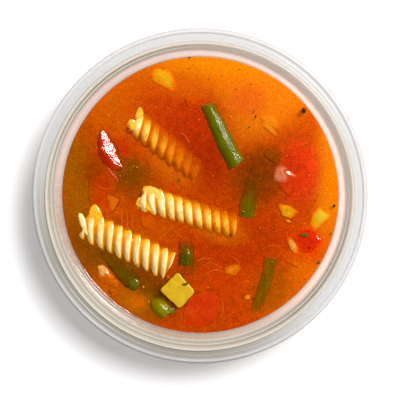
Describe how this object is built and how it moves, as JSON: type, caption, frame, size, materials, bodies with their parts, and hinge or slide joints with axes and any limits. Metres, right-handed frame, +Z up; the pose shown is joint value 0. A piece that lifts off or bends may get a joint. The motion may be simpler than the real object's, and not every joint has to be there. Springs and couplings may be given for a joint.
{
  "type": "minestrone in a tub",
  "caption": "Minestrone in an open round deli tub: tomato broth with spiral pasta, green beans, courgette, tomato, pepper and carrot.",
  "frame": {"origin": "middle of the underside of the tub's foot ring", "axes": "+Z up along the tub's axis; the tub is round, so +X and +Y are set by the food: seen from above the longest pasta spiral lies at -X -Y and the long green bean at +Y"},
  "size_m": [0.1172, 0.1172, 0.076],
  "materials": {
    "tub_plastic": "translucent satin",
    "broth": "glossy",
    "pasta": "wet",
    "green_bean": "wet",
    "courgette": "wet",
    "tomato": "wet",
    "pepper": "wet",
    "carrot": "wet"
  },
  "bodies": {
    "root": {"tub": "tub_plastic", "broth": "broth", "fusilli_1": "pasta", "fusilli_2": "pasta", "fusilli_3": "pasta", "green_bean_1": "green_bean", "green_bean_2": "green_bean", "green_bean_3": "green_bean", "green_bean_4": "green_bean", "courgette_1": "courgette", "tomato_1": "tomato", "tomato_2": "tomato", "tomato_3": "tomato", "pepper_1": "pepper", "carrot_1": "carrot", "carrot_2": "carrot"}
  },
  "joints": []
}
